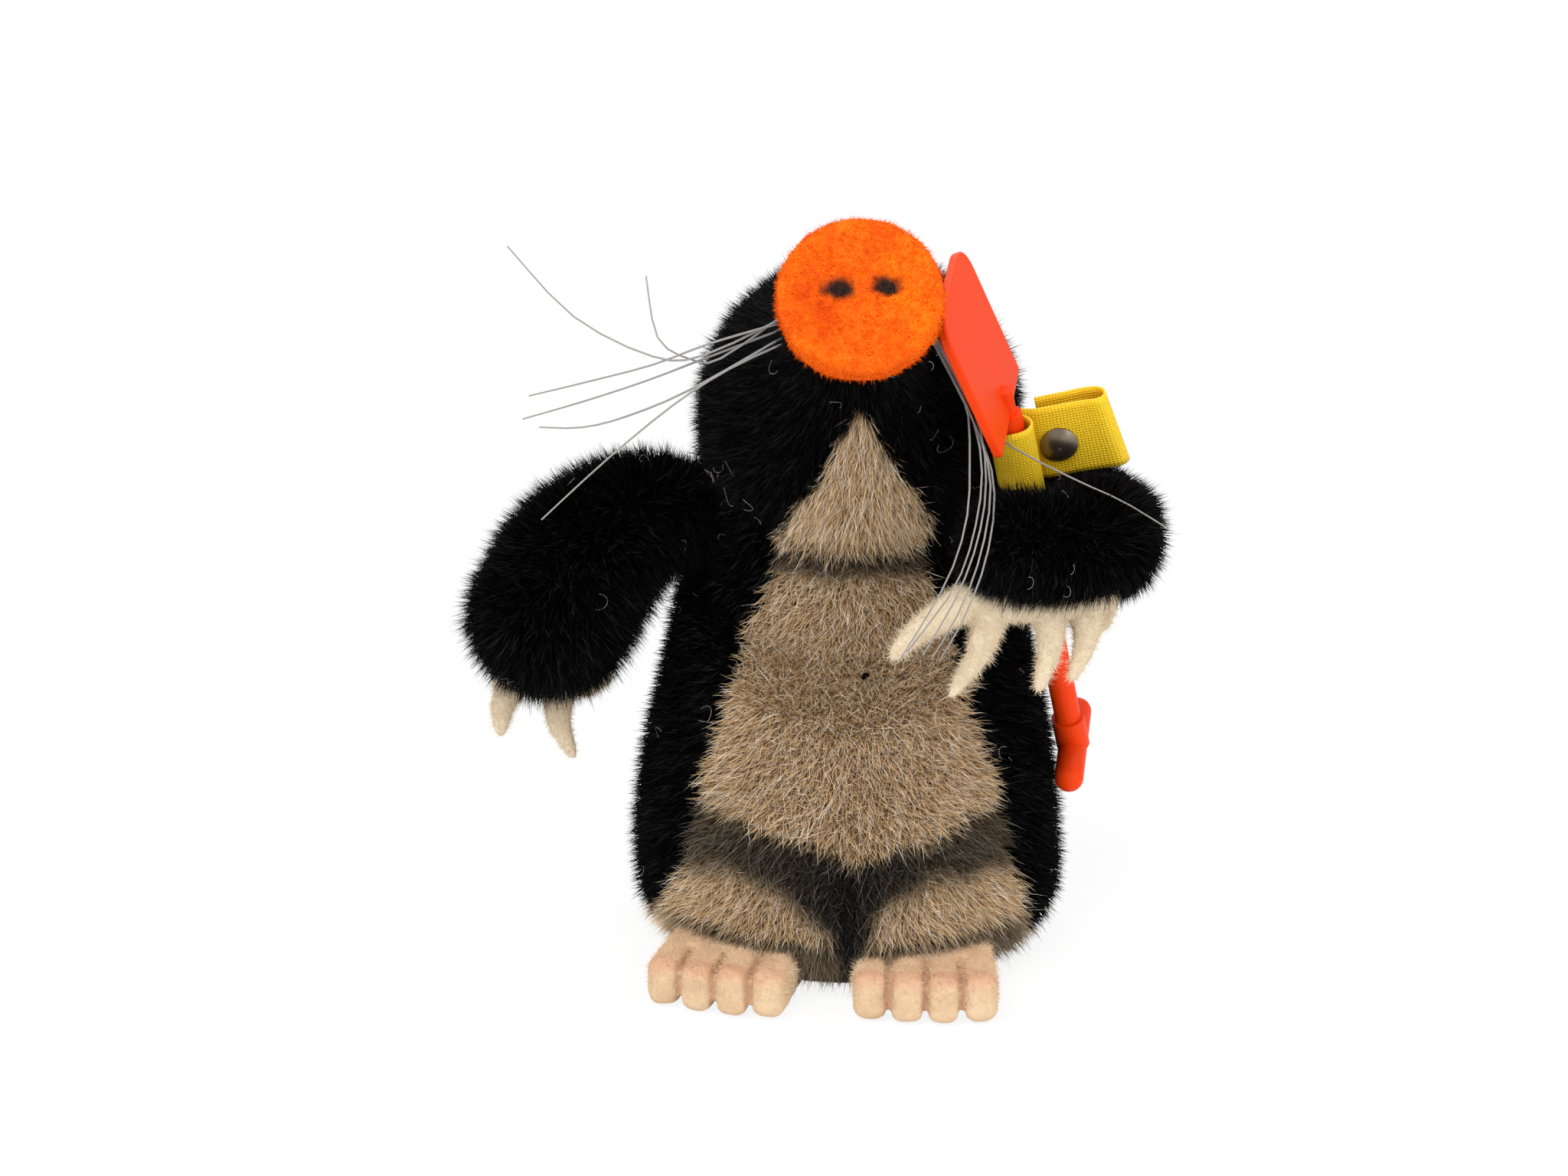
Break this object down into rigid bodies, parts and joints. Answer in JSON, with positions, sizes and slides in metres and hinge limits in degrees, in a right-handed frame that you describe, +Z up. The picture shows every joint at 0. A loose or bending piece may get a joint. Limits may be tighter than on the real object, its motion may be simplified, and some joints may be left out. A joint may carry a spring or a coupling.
{
  "type": "stuffed toy mole",
  "caption": "Small standing plush mole with a felt nose, felt hands and feet, a turning head, posable arms and a plastic toy shovel held in the crook of one arm.",
  "frame": {"origin": "middle of the round flat underside of the body, on the surface that the toy stands on", "axes": "+Z up, -Y the way the toy faces, +X the toy's own left"},
  "size_m": [0.0883, 0.0735, 0.1034],
  "materials": {
    "black_plush": "dense short black mohair pile",
    "tan_plush": "dense short grey-tan mohair pile with darker sprayed lines",
    "cream_felt": "thick cream wool felt",
    "orange_felt": "bright orange wool felt with two sprayed nostrils",
    "yellow_ribbon": "plain yellow woven ribbon",
    "wood_wool": "packed wood wool",
    "card": "grey-brown card",
    "steel": "plain steel wire and washers",
    "bronzed_metal": "dark bronzed metal with a soft shine",
    "red_plastic": "red-orange moulded plastic with a soft shine",
    "nylon": "clear to whitish nylon strand",
    "black_bead": "glossy black bead"
  },
  "bodies": {
    "body": {"base_cover": "tan_plush", "base_board": "card", "body_stuffing": "wood_wool", "back_plush": "black_plush", "belly_plush": "tan_plush", "left_foot": "cream_felt", "right_foot": "cream_felt", "left_foot_sole": "cream_felt", "right_foot_sole": "cream_felt", "left_foot_filling": "wood_wool", "right_foot_filling": "wood_wool", "neck_disc_lower": "card", "neck_washer_lower": "steel", "neck_pin": "steel"},
    "head": {"neck_disc_upper": "card", "neck_washer_upper": "steel", "head_stuffing": "wood_wool", "head_plush": "black_plush", "chin_plush": "tan_plush", "nose_face": "orange_felt", "nose_band": "orange_felt", "nose_filling": "wood_wool", "left_eye": "black_bead", "right_eye": "black_bead", "left_whiskers": "nylon", "right_whiskers": "nylon"},
    "right_arm": {"right_arm_plush": "black_plush", "right_arm_stuffing": "wood_wool", "right_arm_wire": "steel", "right_hand": "cream_felt"},
    "left_arm": {"left_arm_plush": "black_plush", "left_arm_stuffing": "wood_wool", "left_arm_wire": "steel", "left_hand": "cream_felt", "tag_ribbon": "yellow_ribbon", "tag_rivet": "bronzed_metal", "rivet_washer": "bronzed_metal"},
    "shovel": {"shovel_blade": "red_plastic", "shovel_shaft": "red_plastic", "shovel_grip": "red_plastic"}
  },
  "joints": [
    {"name": "head_swivel", "type": "hinge", "parent": "body", "child": "head", "pos_m": [0.001, -0.00176, 0.0687], "axis": [0, -0.4226, 0.9063], "range_deg": [-90, 1], "deforming": ["left_whiskers", "right_whiskers"]},
    {"name": "right_shoulder", "type": "hinge", "parent": "body", "child": "right_arm", "pos_m": [-0.0195, -0.005, 0.06], "axis": [0, 1, 0], "range_deg": [-12, 25]},
    {"name": "left_shoulder", "type": "hinge", "parent": "body", "child": "left_arm", "pos_m": [0.0195, -0.004, 0.06], "axis": [1, 0, 0], "range_deg": [-1, 18]},
    {"name": "shovel_slide", "type": "slide", "parent": "left_arm", "child": "shovel", "axis": [-0.213, -0.352, 0.9115], "range_m": [-0.0007, 0.0015]}
  ]
}
